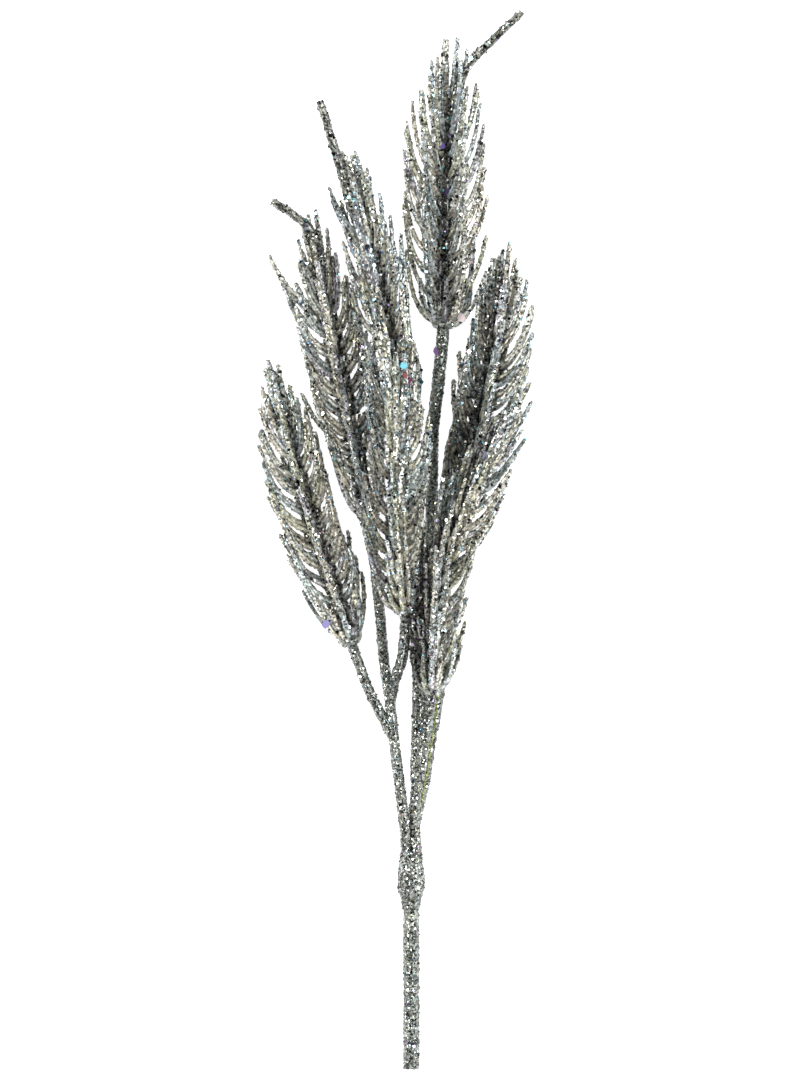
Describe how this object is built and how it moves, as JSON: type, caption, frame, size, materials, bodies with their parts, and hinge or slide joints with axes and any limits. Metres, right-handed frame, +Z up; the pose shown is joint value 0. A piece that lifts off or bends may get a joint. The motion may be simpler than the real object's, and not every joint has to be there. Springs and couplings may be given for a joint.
{
  "type": "artificial wheat spray",
  "caption": "Cut spray of artificial wheat coated in silver glitter, its bristly ears on forked stems that meet in a collar on one straight main stem, laid flat.",
  "frame": {"origin": "on the surface that the spray lies on, below the middle of its box", "axes": "+Y from the cut end of the main stem to the tips of the ears, +Z up from the surface, +X to the right as seen from above"},
  "size_m": [0.1005, 0.3809, 0.0516],
  "materials": {
    "silver_glitter": "olive-grey moulded plastic under a rough coat of silver glitter flakes with small tinted glints",
    "steel_wire": "dull cut steel wire"
  },
  "bodies": {
    "root": {"main_stem": "silver_glitter", "stem_wire": "steel_wire", "collar": "silver_glitter", "branch_left": "silver_glitter", "branch_middle": "silver_glitter", "branch_right": "silver_glitter", "ear_far_left": "silver_glitter", "ear_left": "silver_glitter", "ear_lower_centre": "silver_glitter", "ear_upper_centre": "silver_glitter", "ear_top_right": "silver_glitter", "ear_lower_right": "silver_glitter", "ear_upper_right": "silver_glitter"}
  },
  "joints": []
}
